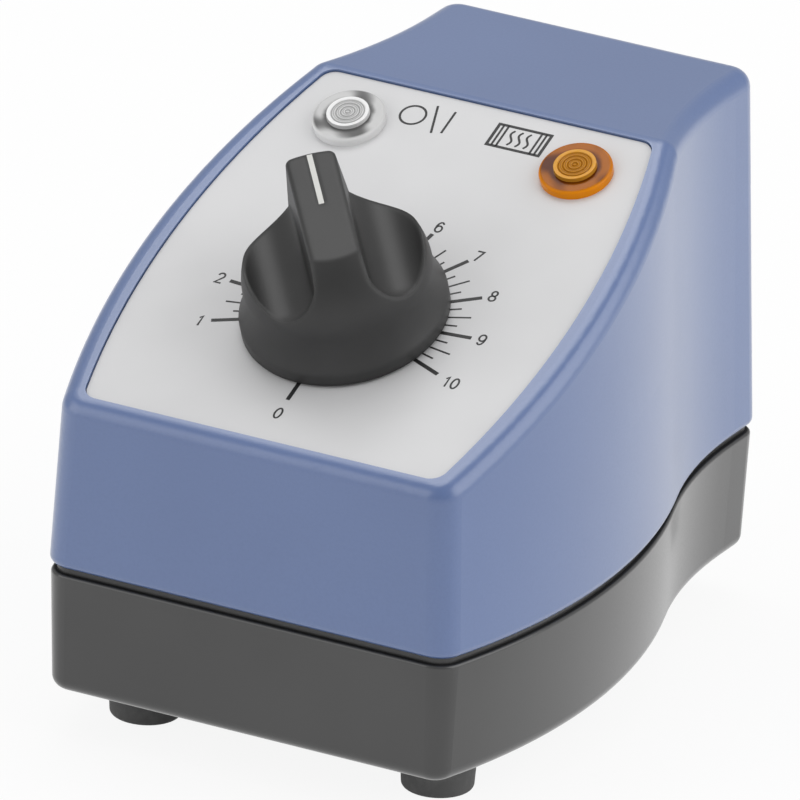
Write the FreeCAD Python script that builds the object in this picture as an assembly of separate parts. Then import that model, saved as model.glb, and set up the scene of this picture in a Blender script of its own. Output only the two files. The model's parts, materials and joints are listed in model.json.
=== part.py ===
import FreeCAD, Part
import math
import os

# Bench power regulator: a two-part moulded case with a sloping dial panel, a pointer knob on an energy
# regulator, two neon lamps, and a fused mains inlet and a load outlet at the back.
# Millimetres, +Z up, +Y to the rear. The origin is on the ground under the middle of the case.

V = FreeCAD.Vector
X_AXIS = V(1, 0, 0)
Y_AXIS = V(0, 1, 0)
Z_AXIS = V(0, 0, 1)

# How far cutters reach past what they cut, how near an edge lies to where it is looked for, and the turn
# in degrees that makes an edge a corner
overcut = 1.0
pick = 0.05
corner_angle = 15.0

# Case plan, measured at the seam between tray and housing
body_depth = 176.0
widest_half_width = 63.5
widest_from_front = 59.0
front_narrowing = 9.8
rear_narrowing = 17.2
rear_straight = 14.0
front_corner_radius = 7.0
rear_corner_radius = 6.0

# Heights
foot_height = 11.6
tray_height = 31.5
groove_height = 1.6
groove_depth = 1.8

# Draft, as inset for each millimetre of height, and the tray's step back from the housing
side_draft = 0.044
front_draft = 0.014
rear_draft = 0.025
tray_draft = 0.04
tray_inset = 0.4

# Walls and edge rounds
wall = 2.6
tray_floor = 2.8
tongue_gap = 0.5
tongue_wall = 1.8
tongue_rise = 5.0
rim_round = 4.6
bend_radius = 6.0
housing_lower_round = 1.9
tray_upper_round = 0.8
tray_bottom_round = 3.5

# Sloping panel and its label
panel_angle = 23.16
label_from_front = 4.56
label_above_seam = 44.0
label_length = 121.2
label_to_bend = 1.0
label_bottom_border = 5.8
label_border = 6.8
label_top_border = 6.5
label_corner = 4.0
label_thickness = 0.5
label_sunk = 0.7
label_gap = 0.2
panel_skin = 2.2

# Dial: the marks 1 to 10 are even, and 0 is straight down
dial_from_label_edge = 44.8
degrees_per_mark = 24.6
middle_mark = 5.5
last_mark = 10.0
resting_mark = 4.0

# Knob
knob_radius = 25.2
knob_height = 30.0
knob_gap = 0.8
knob_skirt_band = 3.0
knob_skirt_taper = 2.3
knob_skirt_hollow = 0.6
knob_dome_height = 16.0
knob_dome_inset = 9.7
knob_dome_bulge = 2.3
knob_bar_half = 6.0
knob_bar_draft = 0.11
knob_bar_overhang = 0.6
knob_tip_round = 2.0
knob_edge_round = 0.8
scoop_radius = 9.0
scoop_depth = 13.6
scoop_end_inset = 12.2
scoop_lap = 0.5
knob_washer_gap = 3.0
knob_bush_gap = 1.0
line_width = 1.3
line_start = 7.0
line_depth = 0.6

# Shaft, cam and carriage of the energy regulator
shaft_radius = 3.0
shaft_top = 22.0
shaft_flat = 1.7
shaft_fit = 0.05
clip_thickness = 0.6
clip_height = 10.0
bush_radius = 5.0
bush_height = 5.5
bush_hole_gap = 0.2
washer_radius = 9.0
washer_thickness = 0.8
nut_across_flats = 14.0
nut_thickness = 3.0
cover_thickness = 1.2
case_height = 30.0
case_wall = 2.0
pivot_radius = 5.0
pivot_depth = 6.0
pivot_top = 8.0
cam_low_radius = 6.5
cam_rise_per_turn = 4.4
cam_span = 325.0
cam_thickness = 5.0
cam_below_cover = 5.0
cam_gap = 0.1
follower_half = 3.0
follower_over_cam = 0.2
follower_end_gap = 0.4
guide_gap = 1.5
guide_wall = 3.0
guide_length = 6.0
slide_fit = 0.1
bimetal_length = 18.0
bimetal_width = 2.4
bimetal_thickness = 0.8
bimetal_gap = 0.3
blade_gap = 1.0
blade_length = 9.5
blade_height = 12.0
blade_thickness = 0.5
rivet_radius = 1.5
rivet_stand = 0.5

# Terminals, sleeves and wires
tab_width = 6.3
tab_thickness = 0.8
tab_reach = 9.0
tab_spread = 9.0
sleeve_size = 6.0
sleeve_length = 13.0
sleeve_margin = 1.0
wire_radius = 1.3
lead_radius = 0.7
lead_offset = 2.5
bend_share = 0.45
wire_drop = 17.0
load_wire_turn = 74.0
wire_below_seam = 3.0
loop_reach = 12.0
loop_depth = 20.0

# Lamps
lamp_from_label_side = 17.3
lamp_from_label_top = 14.9
lens_radius = 9.0
lens_flange = 2.2
lens_edge_round = 0.8
lens_crown_radius = 5.2
lens_crown_height = 3.2
lens_rings = 4
lens_groove_half = 0.3
lens_groove_depth = 0.25
lens_skin = 1.2
stem_radius = 6.2
stem_wall = 1.4
stem_length = 10.0
stem_gap = 0.2
holder_length = 24.0
holder_floor = 2.0
bulb_radius = 3.0
bulb_length = 20.0
lamp_clip_radius = 8.5
lamp_clip_thickness = 1.5

# Rear pocket with inlet and outlet
pocket_above_seam = 10.0
pocket_margin = 2.0
pocket_side_margin = 6.0
pocket_depth = 4.5
pocket_corner = 4.0
pad_thickness = 3.0
pad_margin = 3.0
flange_thickness = 2.5
flange_lip = 1.5
flange_end = 4.5
socket_spacing = 3.0
socket_gap = 0.2
socket_wall = 2.0
socket_back_wall = 4.5
plug_width = 24.0
plug_height = 16.5
plug_depth = 17.0
plug_corner = 2.5
shroud_width = 29.0
shroud_height = 21.0
shroud_gap = 2.6
pin_width = 2.0
pin_height = 4.0
pin_spread = 7.0
pin_offset = 2.0
pin_recess = 3.0
pin_tail = 8.0
slot_gap = 0.3
slot_depth = 10.0
drawer_gap = 0.15
drawer_lip = 1.2
drawer_lip_margin = 1.2
drawer_lip_round = 0.5
drawer_wall = 1.3
drawer_back_wall = 2.5
fuse_radius = 2.5
fuse_glass_radius = 2.2
fuse_cap = 4.8
fuse_length = 19.0
socket_screw_gap = 4.0
socket_screw_radius = 1.5
socket_screw_head = 2.8
socket_screw_slot = 0.7
socket_screw_length = 12.0
socket_nut_across = 5.5
socket_nut_thickness = 2.4

# Feet and case screws
foot_radius = 9.5
foot_bottom_radius = 8.7
foot_edge_round = 1.2
foot_seat = 1.0
foot_seat_gap = 0.2
foot_bore_gap = 0.8
foot_bore_depth = 7.0
foot_front_inset = 26.4
foot_front_side_inset = 21.0
foot_rear_inset = 36.0
foot_rear_side_inset = 25.0
foot_boss_radius = 5.0
foot_boss_height = 9.0
foot_boss_cap = 1.2
screw_radius = 2.0
screw_head_radius = 3.8
screw_head_height = 2.6
screw_head_round = 1.0
screw_cross_reach = 2.2
screw_cross_half = 0.4
screw_cross_depth = 1.3
screw_fit = 0.05
screw_recess = 5.0
screw_recess_gap = 0.4
pillar_radius = 5.5
pillar_gap = 0.6
pillar_front_inset = 62.0
pillar_rear_inset = 14.0
pillar_joint_above_seam = 4.0
pillar_thread = 14.0
pillar_thread_spare = 1.0

# Places worked out from the sizes above
y_front = -body_depth / 2
y_rear = body_depth / 2
z_tray = foot_height
z_seam = foot_height + tray_height
z_tray_top = z_seam - groove_height / 2
z_housing = z_seam + groove_height / 2
slope = math.radians(panel_angle)
up_slope = V(0, math.cos(slope), math.sin(slope))
out_of_panel = V(0, -math.sin(slope), math.cos(slope))
label_edge = V(0, y_front + label_from_front, z_seam + label_above_seam)
border_edge = label_edge + out_of_panel * label_sunk
z_top = border_edge.z + (label_length + label_to_bend) * math.sin(slope)
dial_centre = label_edge + up_slope * dial_from_label_edge
lamp_up = label_length - lamp_from_label_top - dial_from_label_edge
panel_under = -(label_thickness + panel_skin)
resting_turn = (middle_mark - resting_mark) * degrees_per_mark
knob_bar_reach = knob_radius + knob_bar_overhang
tongue_inset = wall + tongue_gap
ring_inset = tongue_inset + tongue_wall
pillar_joint = z_seam + pillar_joint_above_seam

# Inlet and outlet: the bodies hold their recesses, and the flanges hold the bodies and the screws
fuse_trough = 2 * (fuse_radius + drawer_gap)
drawer_half_width = fuse_length / 2 + drawer_gap + drawer_wall
drawer_height = fuse_trough + 2 * drawer_wall
drawer_hole_height = drawer_height + 2 * drawer_gap
inlet_half_width = plug_width / 2 + socket_wall
inlet_body_height = plug_height + drawer_hole_height + 3 * socket_wall
outlet_half_width = shroud_width / 2 + socket_wall
outlet_body_height = shroud_height + 2 * socket_wall
inlet_flange_height = inlet_body_height + 2 * flange_lip
outlet_flange_height = outlet_body_height + 2 * flange_lip
socket_screw_spread = outlet_half_width + socket_screw_gap
flange_half_width = socket_screw_spread + flange_end
pocket_half_width = flange_half_width + pocket_side_margin
pocket_floor = y_rear - pocket_depth
flange_face = pocket_floor + flange_thickness
plug_floor = flange_face - plug_depth
socket_back = plug_floor - socket_back_wall
inlet_z = z_seam + pocket_above_seam + pocket_margin + inlet_flange_height / 2
outlet_z = inlet_z + inlet_flange_height / 2 + socket_spacing + outlet_flange_height / 2
pocket_low = z_seam + pocket_above_seam
pocket_high = outlet_z + outlet_flange_height / 2 + pocket_margin
plug_z = inlet_z + inlet_body_height / 2 - socket_wall - plug_height / 2
drawer_z = inlet_z - inlet_body_height / 2 + socket_wall + drawer_hole_height / 2
drawer_back = socket_back + drawer_back_wall
fuse_y = drawer_back + drawer_wall + fuse_trough / 2

# Regulator, in the panel frame: the case is as wide as the cam and the guide beyond it
turn_up = (last_mark - resting_mark) * degrees_per_mark
turn_down = 180 - resting_turn
cam_rate = cam_rise_per_turn / 360
cam_high_radius = cam_low_radius + cam_rate * cam_span
resting_spiral = (cam_span - turn_up + turn_down) / 2
cam_rest_radius = cam_low_radius + cam_rate * resting_spiral
case_inner = cam_high_radius + guide_gap + guide_length
case_size = 2 * (case_inner + case_wall)
case_high = panel_under - cover_thickness
case_low = case_high - case_height
case_floor = case_low + case_wall
shaft_low = case_floor + pivot_top - pivot_depth
cam_high = case_high - cam_below_cover
cam_low = cam_high - cam_thickness
guide_y = case_inner - guide_length
guide_half = follower_half + slide_fit + guide_wall
follower_low = cam_low - follower_over_cam
follower_high = cam_high + follower_over_cam
follower_y = cam_rest_radius + cam_gap
follower_end = case_inner - cam_rate * turn_up - follower_end_gap
blade_y = case_inner - rivet_stand - blade_thickness
blade_x = -case_inner + blade_gap
bimetal_y = blade_y - cam_rate * turn_up - bimetal_gap
sleeve_end_y = socket_back - sleeve_margin - sleeve_length
sleeve_end_out = case_low - sleeve_margin - sleeve_length
wire_floor = z_seam - wire_below_seam

# The side of the plan is a full arc to the inflection, then a hollow arc that runs into the straight rear
bulge_radius = (widest_from_front ** 2 + front_narrowing ** 2) / (2 * front_narrowing)
waist_run = body_depth - rear_straight - widest_from_front
rear_half_width = widest_half_width - rear_narrowing
waist_radius = (rear_narrowing ** 2 + waist_run ** 2) / (2 * rear_narrowing) - bulge_radius
waist_turn = math.asin(waist_run / (bulge_radius + waist_radius))


def half_width_at(y):
    """Half width of the seam outline at a given depth, away from the corners."""
    past_widest = y - y_front - widest_from_front
    before_straight = y_rear - rear_straight - y
    if past_widest < bulge_radius * math.sin(waist_turn):
        return widest_half_width - bulge_radius + math.sqrt(bulge_radius ** 2 - past_widest ** 2)
    if before_straight > 0:
        return rear_half_width + waist_radius - math.sqrt(waist_radius ** 2 - before_straight ** 2)
    return rear_half_width


def line(start, end):
    return Part.LineSegment(start, end).toShape()


def arc(start, middle, end):
    return Part.Arc(start, middle, end).toShape()


def box(x_low, x_high, y_low, y_high, z_low, z_high):
    corner = V(x_low, y_low, z_low)
    return Part.makeBox(x_high - x_low, y_high - y_low, z_high - z_low, corner)


def rod(radius, start, end):
    """Cylinder between two points."""
    axis = end - start
    return Part.makeCylinder(radius, axis.Length, start, axis)


def rounded_box(half_width, height, y_low, y_high, z_middle, corner):
    """Box along Y with rounded corners in the XZ plane."""
    block = box(-half_width, half_width, y_low, y_high, z_middle - height / 2, z_middle + height / 2)
    edges = [edge for edge in block.Edges if edge.tangentAt(edge.FirstParameter).isParallel(Y_AXIS, 0.01)]
    return block.makeFillet(corner, edges)


def spun(points):
    """Solid of revolution about Z from a closed profile of (radius, height) points."""
    corners = [V(radius, 0, height) for radius, height in points]
    face = Part.Face(Part.makePolygon(corners + corners[:1]))
    return face.revolve(V(0, 0, 0), Z_AXIS, 360)


def hexagon(across_flats, thickness, z_low):
    radius = across_flats / math.sqrt(3)
    corners = [V(radius * math.cos(math.radians(60 * k)), radius * math.sin(math.radians(60 * k)), z_low)
               for k in range(6)]
    return Part.Face(Part.makePolygon(corners + corners[:1])).extrude(Z_AXIS * thickness)


def moved(shape, offset):
    copy = shape.copy()
    copy.translate(offset)
    return copy


def turned(shape, axis, degrees):
    copy = shape.copy()
    copy.rotate(V(0, 0, 0), axis, degrees)
    return copy


def on_panel(shape):
    """From the panel frame (X right, Y up the slope, Z out of the label, dial centre at 0) into place."""
    return moved(turned(shape, X_AXIS, panel_angle), dial_centre)


def panel_point(x, up, out):
    return dial_centre + X_AXIS * x + up_slope * up + out_of_panel * out


def facing_rear(shape):
    """From a frame with Z as the axis to one with that axis along +Y."""
    return turned(shape, X_AXIS, -90)


def save(name, *solids):
    """Writes one node, which may hold several separate solids."""
    shape = solids[0] if len(solids) == 1 else Part.makeCompound(solids)
    shape.exportStep("parts/" + name + ".step")
    print(name, len(shape.Solids), "solids", round(shape.Volume), "mm3", "valid", shape.isValid())


def face_angle(shape, edge):
    """Angle between the two faces at the middle of an edge, in degrees."""
    middle = edge.valueAt((edge.FirstParameter + edge.LastParameter) / 2)
    normals = []
    for face in shape.ancestorsOfType(edge, Part.Face):
        u, v = face.Surface.parameter(middle)
        normals.append(face.normalAt(u, v))
    return math.degrees(normals[0].getAngle(normals[-1]))


def sharp_edges(shape, z_low, z_high):
    """Edges between two heights where the surface really turns a corner."""
    found = []
    for edge in shape.Edges:
        heights = [vertex.Point.z for vertex in edge.Vertexes]
        if min(heights) > z_low and max(heights) < z_high and face_angle(shape, edge) > corner_angle:
            found.append(edge)
    return found


def circles_at(shape, radius, z):
    """Round edges of one radius at one height."""
    return [edge for edge in shape.Edges if isinstance(edge.Curve, Part.Circle)
            and abs(edge.Curve.Radius - radius) < pick and abs(edge.Curve.Center.z - z) < pick]


def plan_outline(side, front, rear, corner_shrink, z):
    """Case outline at one height, drawn in from the seam outline by the three given insets."""
    bulge = bulge_radius - side
    waist = waist_radius + side
    front_corner = front_corner_radius - corner_shrink
    rear_corner = rear_corner_radius - corner_shrink
    y_low = y_front + front
    y_high = y_rear - rear
    y_widest = y_front + widest_from_front
    y_straight = y_rear - rear_straight
    bulge_centre = V(widest_half_width - bulge_radius, y_widest, z)
    waist_centre = V(rear_half_width + waist_radius, y_straight, z)
    corner_y = y_low + front_corner
    corner_x = bulge_centre.x + math.sqrt((bulge - front_corner) ** 2 - (corner_y - y_widest) ** 2)
    corner_centre = V(corner_x, corner_y, z)
    to_corner = (corner_centre - bulge_centre).normalize()
    half_way = (to_corner - Y_AXIS).normalize()
    toward_waist = V(math.cos(waist_turn), math.sin(waist_turn), 0)
    half_waist = V(math.cos(waist_turn / 2), math.sin(waist_turn / 2), 0)
    x_rear = rear_half_width - side
    rear_centre = V(x_rear - rear_corner, y_high - rear_corner, z)
    diagonal = V(1, 1, 0).normalize()
    front_end = V(corner_x, y_low, z)
    rear_end = V(rear_centre.x, y_high, z)
    corner_end = bulge_centre + to_corner * bulge
    inflection = bulge_centre + toward_waist * bulge
    waist_end = V(x_rear, y_straight, z)
    rear_start = V(x_rear, rear_centre.y, z)
    right = [
        (front_end, corner_centre + half_way * front_corner, corner_end),
        (corner_end, V(bulge_centre.x + bulge, y_widest, z), inflection),
        (inflection, waist_centre - half_waist * waist, waist_end),
        (waist_end, rear_start),
        (rear_start, rear_centre + diagonal * rear_corner, rear_end),
    ]
    left = [tuple(V(-p.x, p.y, p.z) for p in reversed(piece)) for piece in reversed(right)]
    pieces = right + [(right[-1][-1], left[0][0])] + left + [(left[-1][-1], right[0][0])]
    return Part.Wire([arc(*piece) if len(piece) == 3 else line(*piece) for piece in pieces])


def even_outline(inset, z):
    """Outline drawn in by the same amount all round."""
    return plan_outline(inset, inset, inset, inset, z)


def prism(inset, z_low, z_high):
    return Part.Face(even_outline(inset, z_low)).extrude(Z_AXIS * (z_high - z_low))


def housing_block(inset, z_low):
    """Drafted housing body up to above the top, drawn in by a wall."""
    z_high = z_top + wall
    wires = []
    for z in (z_low, z_high):
        rise = z - z_housing
        wires.append(plan_outline(inset + side_draft * rise, inset + front_draft * rise,
                                  inset + rear_draft * rise, inset, z))
    return Part.makeLoft(wires, True, True)


def roof(panel_drop, top_drop):
    """Everything under the panel and the top, each lowered by the given depth, with a rounded bend."""
    height = z_top - top_drop
    foot = border_edge - out_of_panel * panel_drop
    to_bend = (height - foot.z) / math.sin(slope)
    bend = foot + up_slope * to_bend
    tangent = bend_radius * math.tan(slope / 2)
    bend_start = bend - up_slope * tangent
    bend_end = bend + Y_AXIS * tangent
    bend_centre = bend_end - Z_AXIS * bend_radius
    half_turn = V(0, -math.sin(slope / 2), math.cos(slope / 2))
    front = foot - up_slope * body_depth / 2
    far = y_rear + body_depth / 2
    edges = [
        line(front, bend_start),
        arc(bend_start, bend_centre + half_turn * bend_radius, bend_end),
        line(bend_end, V(0, far, height)),
        line(V(0, far, height), V(0, far, -foot_height)),
        line(V(0, far, -foot_height), V(0, front.y, -foot_height)),
        line(V(0, front.y, -foot_height), front),
    ]
    side = Part.Face(Part.Wire(edges))
    return moved(side, X_AXIS * -body_depth).extrude(X_AXIS * 2 * body_depth)


def label_half(along, border):
    """Half width of the label at a distance along it: the housing's half width there less the border."""
    place = label_edge + up_slope * along
    return half_width_at(place.y) - side_draft * (place.z - z_housing) - border


def label_face(grow, out):
    """Label outline in the panel frame, grown by a gap, at one height."""
    low = -dial_from_label_edge - grow
    high = label_length - dial_from_label_edge + grow
    middle = label_length / 2 - dial_from_label_edge
    right_low = V(label_half(0, label_bottom_border) + grow, low, out)
    right_middle = V(label_half(label_length / 2, label_border) + grow, middle, out)
    right_high = V(label_half(label_length, label_top_border) + grow, high, out)
    left_low, left_middle, left_high = [V(-p.x, p.y, p.z) for p in (right_low, right_middle, right_high)]
    right_side = arc(right_low, right_middle, right_high)
    left_side = arc(left_high, left_middle, left_low)
    wire = Part.Wire([line(left_low, right_low), right_side, line(right_high, left_high), left_side])
    return Part.Face(wire)


def label_block(grow, low, high):
    """Label outline as a block with rounded corners, between two heights."""
    block = label_face(grow, low).extrude(Z_AXIS * (high - low))
    corners = [edge for edge in block.Edges
               if len(edge.Vertexes) == 2 and abs(edge.Vertexes[0].Z - edge.Vertexes[1].Z) > (high - low) / 2]
    return block.makeFillet(label_corner + grow, corners)


def both_sides(half, y, z):
    return [V(-half, y, z), V(half, y, z)]


def pillar_places():
    """Screw pillars stand just inside the tray's ring, two at the widest part and two at the rear."""
    places = []
    for y in (y_front + pillar_front_inset, y_rear - pillar_rear_inset):
        half = half_width_at(y) - ring_inset - pillar_gap - pillar_radius
        places = places + both_sides(half, y, 0)
    return places


def foot_places():
    front_y = y_front + foot_front_inset
    rear_y = y_rear - foot_rear_inset
    front_half = half_width_at(front_y) - foot_front_side_inset
    rear_half = half_width_at(rear_y) - foot_rear_side_inset
    return both_sides(front_half, front_y, z_tray) + both_sides(rear_half, rear_y, z_tray)


def lamp_half_spacing():
    """The lamps keep their distance from the label's sides."""
    return label_half(label_length - lamp_from_label_top, label_top_border) - lamp_from_label_side


def lamp_places():
    return both_sides(lamp_half_spacing(), lamp_up, 0)


def screw(length):
    """Pan-headed screw along +Z: the head's top at 0, the shank above it, a cross recess in the head."""
    head = Part.makeCylinder(screw_head_radius, screw_head_height)
    head = head.makeFillet(screw_head_round, circles_at(head, screw_head_radius, 0))
    shank = Part.makeCylinder(screw_radius, length, V(0, 0, screw_head_height))
    recess = box(-screw_cross_reach, screw_cross_reach, -screw_cross_half, screw_cross_half,
                 0, screw_cross_depth)
    return head.fuse(shank).cut([recess, turned(recess, Z_AXIS, 90)])


def make_base_tray():
    height = z_tray_top - z_tray
    bottom_inset = tray_inset + tray_draft * height
    low_outline = even_outline(bottom_inset, z_tray)
    high_outline = even_outline(tray_inset, z_tray_top)
    outer = Part.makeLoft([low_outline, high_outline], True, True)
    outer = outer.makeFillet(tray_bottom_round, sharp_edges(outer, z_tray - pick, z_tray + pick))
    outer = outer.makeFillet(tray_upper_round, sharp_edges(outer, z_tray_top - pick, z_tray_top + pick))
    inside = Part.makeLoft([even_outline(bottom_inset + wall, z_tray + tray_floor),
                            even_outline(tray_inset + wall, z_tray_top)], True, True)
    tray = outer.cut(inside)
    ring_low = z_tray_top - tongue_rise
    hollow = prism(ring_inset, ring_low - overcut, z_housing + tongue_rise + overcut)
    step = prism(groove_depth, ring_low, z_housing)
    step = step.cut(hollow)
    tongue = prism(tongue_inset, ring_low, z_housing + tongue_rise).cut(hollow)
    tray = tray.fuse([step, tongue])
    floor_top = z_tray + tray_floor
    for place in pillar_places():
        boss = Part.makeCylinder(pillar_radius, pillar_joint - z_tray, place + Z_AXIS * z_tray)
        tray = tray.fuse(boss)
    for place in foot_places():
        boss = Part.makeCylinder(foot_boss_radius, foot_boss_height + tray_floor, place)
        tray = tray.fuse(boss)
    for place in pillar_places():
        bottom = place + Z_AXIS * z_tray
        recess = Part.makeCylinder(screw_head_radius + screw_recess_gap, screw_recess, bottom)
        hole = Part.makeCylinder(screw_radius + screw_fit, pillar_joint - z_tray, bottom)
        tray = tray.cut(recess.fuse(hole))
    for place in foot_places():
        seat = Part.makeCylinder(foot_radius + foot_seat_gap, foot_seat, place)
        thread_top = floor_top + foot_boss_height - foot_boss_cap
        hole = Part.makeCylinder(screw_radius + screw_fit, thread_top - z_tray, place)
        tray = tray.cut(seat.fuse(hole))
    return tray.removeSplitter()


def make_top_housing():
    outer = housing_block(0, z_housing).common(roof(0, 0))
    outer = outer.makeFillet(rim_round, sharp_edges(outer, z_housing + rim_round, z_top + pick))
    outer = outer.makeFillet(housing_lower_round, sharp_edges(outer, z_housing - pick, z_housing + pick))
    panel_drop = label_sunk - panel_under
    inside = housing_block(wall, z_housing).common(roof(panel_drop, wall))
    shell = outer.cut(inside)
    pad = box(-pocket_half_width - pad_margin, pocket_half_width + pad_margin,
              pocket_floor - pad_thickness, y_rear, pocket_low - pad_margin, pocket_high + pad_margin)
    pad = pad.common(outer)
    pillars = []
    for place in pillar_places():
        pillar = Part.makeCylinder(pillar_radius, z_top - pillar_joint, place + Z_AXIS * pillar_joint)
        pillars.append(pillar.common(outer))
    shell = shell.fuse([pad] + pillars)
    for place in pillar_places():
        start = place + Z_AXIS * (pillar_joint - overcut)
        depth = pillar_thread + pillar_thread_spare + overcut
        shell = shell.cut(Part.makeCylinder(screw_radius + screw_fit, depth, start))
    pocket_middle = (pocket_low + pocket_high) / 2
    pocket = rounded_box(pocket_half_width, pocket_high - pocket_low, pocket_floor, y_rear + wall,
                         pocket_middle, pocket_corner)
    shell = shell.cut(pocket)
    for half, height, z in ((inlet_half_width, inlet_body_height, inlet_z),
                            (outlet_half_width, outlet_body_height, outlet_z)):
        window = box(-half - socket_gap, half + socket_gap, pocket_floor - 2 * pad_thickness,
                     pocket_floor + pocket_depth, z - height / 2 - socket_gap, z + height / 2 + socket_gap)
        shell = shell.cut(window)
    for place in socket_screw_places():
        shell = shell.cut(rod(socket_screw_radius + screw_fit, place - Y_AXIS * 2 * pad_thickness, place))
    shell = shell.cut(on_panel(label_block(label_gap, -label_thickness, label_sunk + rim_round)))
    through = -2 * panel_under
    shaft_hole = Part.makeCylinder(bush_radius + bush_hole_gap, 2 * through, V(0, 0, -through))
    shell = shell.cut(on_panel(shaft_hole))
    for place in lamp_places():
        hole = Part.makeCylinder(stem_radius + stem_gap, 2 * through, place - Z_AXIS * through)
        shell = shell.cut(on_panel(hole))
    return shell.removeSplitter()


def make_front_label():
    label = label_block(0, -label_thickness, 0)
    below = Z_AXIS * -2 * label_thickness
    holes = [Part.makeCylinder(bush_radius + bush_hole_gap, 4 * label_thickness, below)]
    for place in lamp_places():
        holes.append(Part.makeCylinder(stem_radius + stem_gap, 4 * label_thickness, place + below))
    return on_panel(label.cut(holes))


def make_foot():
    """Rubber foot that hangs from the tray's underside at 0, with a bore for the screw head."""
    low = -foot_height
    foot = Part.makeCone(foot_bottom_radius, foot_radius, foot_height + foot_seat, V(0, 0, low))
    foot = foot.makeFillet(foot_edge_round, circles_at(foot, foot_bottom_radius, low))
    bore = Part.makeCylinder(screw_head_radius + foot_bore_gap, foot_bore_depth, V(0, 0, low))
    hole = Part.makeCylinder(screw_radius + screw_fit, foot_height + 2 * foot_seat, V(0, 0, low))
    return foot.cut(bore.fuse(hole))


def bulged(start, end, bulge):
    """Arc between two points of a knob's profile that stands out from their chord."""
    chord = end - start
    return arc(start, start + chord * 0.5 + V(chord.z, 0, -chord.x).normalize() * bulge, end)


def knob_dome():
    """Round body of the knob: a short band, a hollow skirt and a domed shoulder under a flat top.

    The seam of the revolved surface is turned to lie under the bar.
    """
    side_start = V(knob_radius, 0, knob_gap + knob_skirt_band)
    shoulder = V(knob_radius - knob_skirt_taper, 0, knob_height - knob_dome_height)
    crown = V(shoulder.x - knob_dome_inset, 0, knob_height)
    profile = [
        line(V(0, 0, knob_gap), V(knob_radius, 0, knob_gap)),
        line(V(knob_radius, 0, knob_gap), side_start),
        bulged(side_start, shoulder, -knob_skirt_hollow),
        bulged(shoulder, crown, knob_dome_bulge),
        line(crown, V(0, 0, knob_height)),
        line(V(0, 0, knob_height), V(0, 0, knob_gap)),
    ]
    return turned(Part.Face(Part.Wire(profile)).revolve(V(0, 0, 0), Z_AXIS, 360), Z_AXIS, -90)


def knob_bar(dome):
    """Drafted grip across the dome that stands out past it as a pointer with rounded corners."""
    low = knob_gap + knob_skirt_band
    reach = knob_bar_reach + overcut
    outlines = []
    for z in (low, knob_height):
        half = knob_bar_half + knob_bar_draft * (knob_height - z)
        corners = [V(-half, -reach, z), V(half, -reach, z), V(half, reach, z), V(-half, reach, z)]
        outlines.append(Part.makePolygon(corners + corners[:1]))
    wedge = Part.makeLoft(outlines, True, True)
    front_half = Part.makeCylinder(knob_bar_reach, knob_height - low, Z_AXIS * low, Z_AXIS, 180)
    bar = wedge.common(dome.fuse(front_half)).removeSplitter()
    tip_corners = [edge for edge in bar.Edges if len(edge.Vertexes) == 2
                   and all(vertex.Y > 0 and abs(math.hypot(vertex.X, vertex.Y) - knob_bar_reach) < pick
                           for vertex in edge.Vertexes)
                   and abs(edge.Vertexes[0].Z - edge.Vertexes[1].Z) > knob_tip_round]
    bar = bar.makeFillet(knob_tip_round, tip_corners)
    return bar.makeFillet(knob_edge_round,
                          [edge for edge in bar.Edges if edge.BoundBox.ZMin > knob_height - pick])


def knob_scoop(side):
    """Finger channel that laps into the bar: open at the pointer's end and round at the other."""
    axis = knob_height - scoop_depth + scoop_radius
    end = V(side * (knob_bar_half - scoop_lap + scoop_radius), scoop_end_inset - knob_radius, axis)
    channel = Part.makeCylinder(scoop_radius, 2 * knob_radius, end, Y_AXIS)
    channel = channel.fuse(Part.makeSphere(scoop_radius, end))
    channel = channel.fuse(Part.makeCylinder(scoop_radius, scoop_depth, end))
    return channel.fuse(box(end.x - scoop_radius, end.x + scoop_radius, end.y, 2 * knob_radius,
                            axis, axis + scoop_depth))


def make_knob():
    """Knob in the panel frame with its pointer up the slope: a dome with a scoop on each side of its bar."""
    dome = knob_dome()
    bar_room = box(-knob_bar_half, knob_bar_half, -2 * knob_radius, 2 * knob_radius,
                   knob_height - knob_dome_height, knob_height + overcut)
    sides = dome.cut([knob_scoop(-1), knob_scoop(1)]).removeSplitter()
    sides = sides.cut(bar_room).removeSplitter()
    knob = sides.fuse(knob_bar(dome)).removeSplitter()
    hollow_height = bush_height + knob_bush_gap - knob_gap
    hollow = Part.makeCylinder(washer_radius + knob_washer_gap, hollow_height, Z_AXIS * knob_gap)
    bore = Part.makeCylinder(shaft_radius, shaft_top)
    flat = box(shaft_flat + clip_thickness, shaft_radius + overcut, -shaft_radius, shaft_radius,
               shaft_top - clip_height, shaft_top)
    return knob.cut([hollow, bore.cut(flat), make_pointer_line()])


def make_pointer_line():
    return box(-line_width / 2, line_width / 2, line_start, knob_bar_reach - knob_edge_round,
               knob_height - line_depth, knob_height)


def make_knob_clip():
    """Spring steel strip between the shaft's flat and the knob's bore."""
    half = math.sqrt(shaft_radius ** 2 - (shaft_flat + clip_thickness) ** 2)
    return box(shaft_flat, shaft_flat + clip_thickness, -half, half, shaft_top - clip_height, shaft_top)


def make_shaft():
    shaft = Part.makeCylinder(shaft_radius, shaft_top - shaft_low, V(0, 0, shaft_low))
    flat = box(shaft_flat, shaft_radius + overcut, -shaft_radius, shaft_radius,
               shaft_top - clip_height, shaft_top + overcut)
    return shaft.cut(flat)


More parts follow.
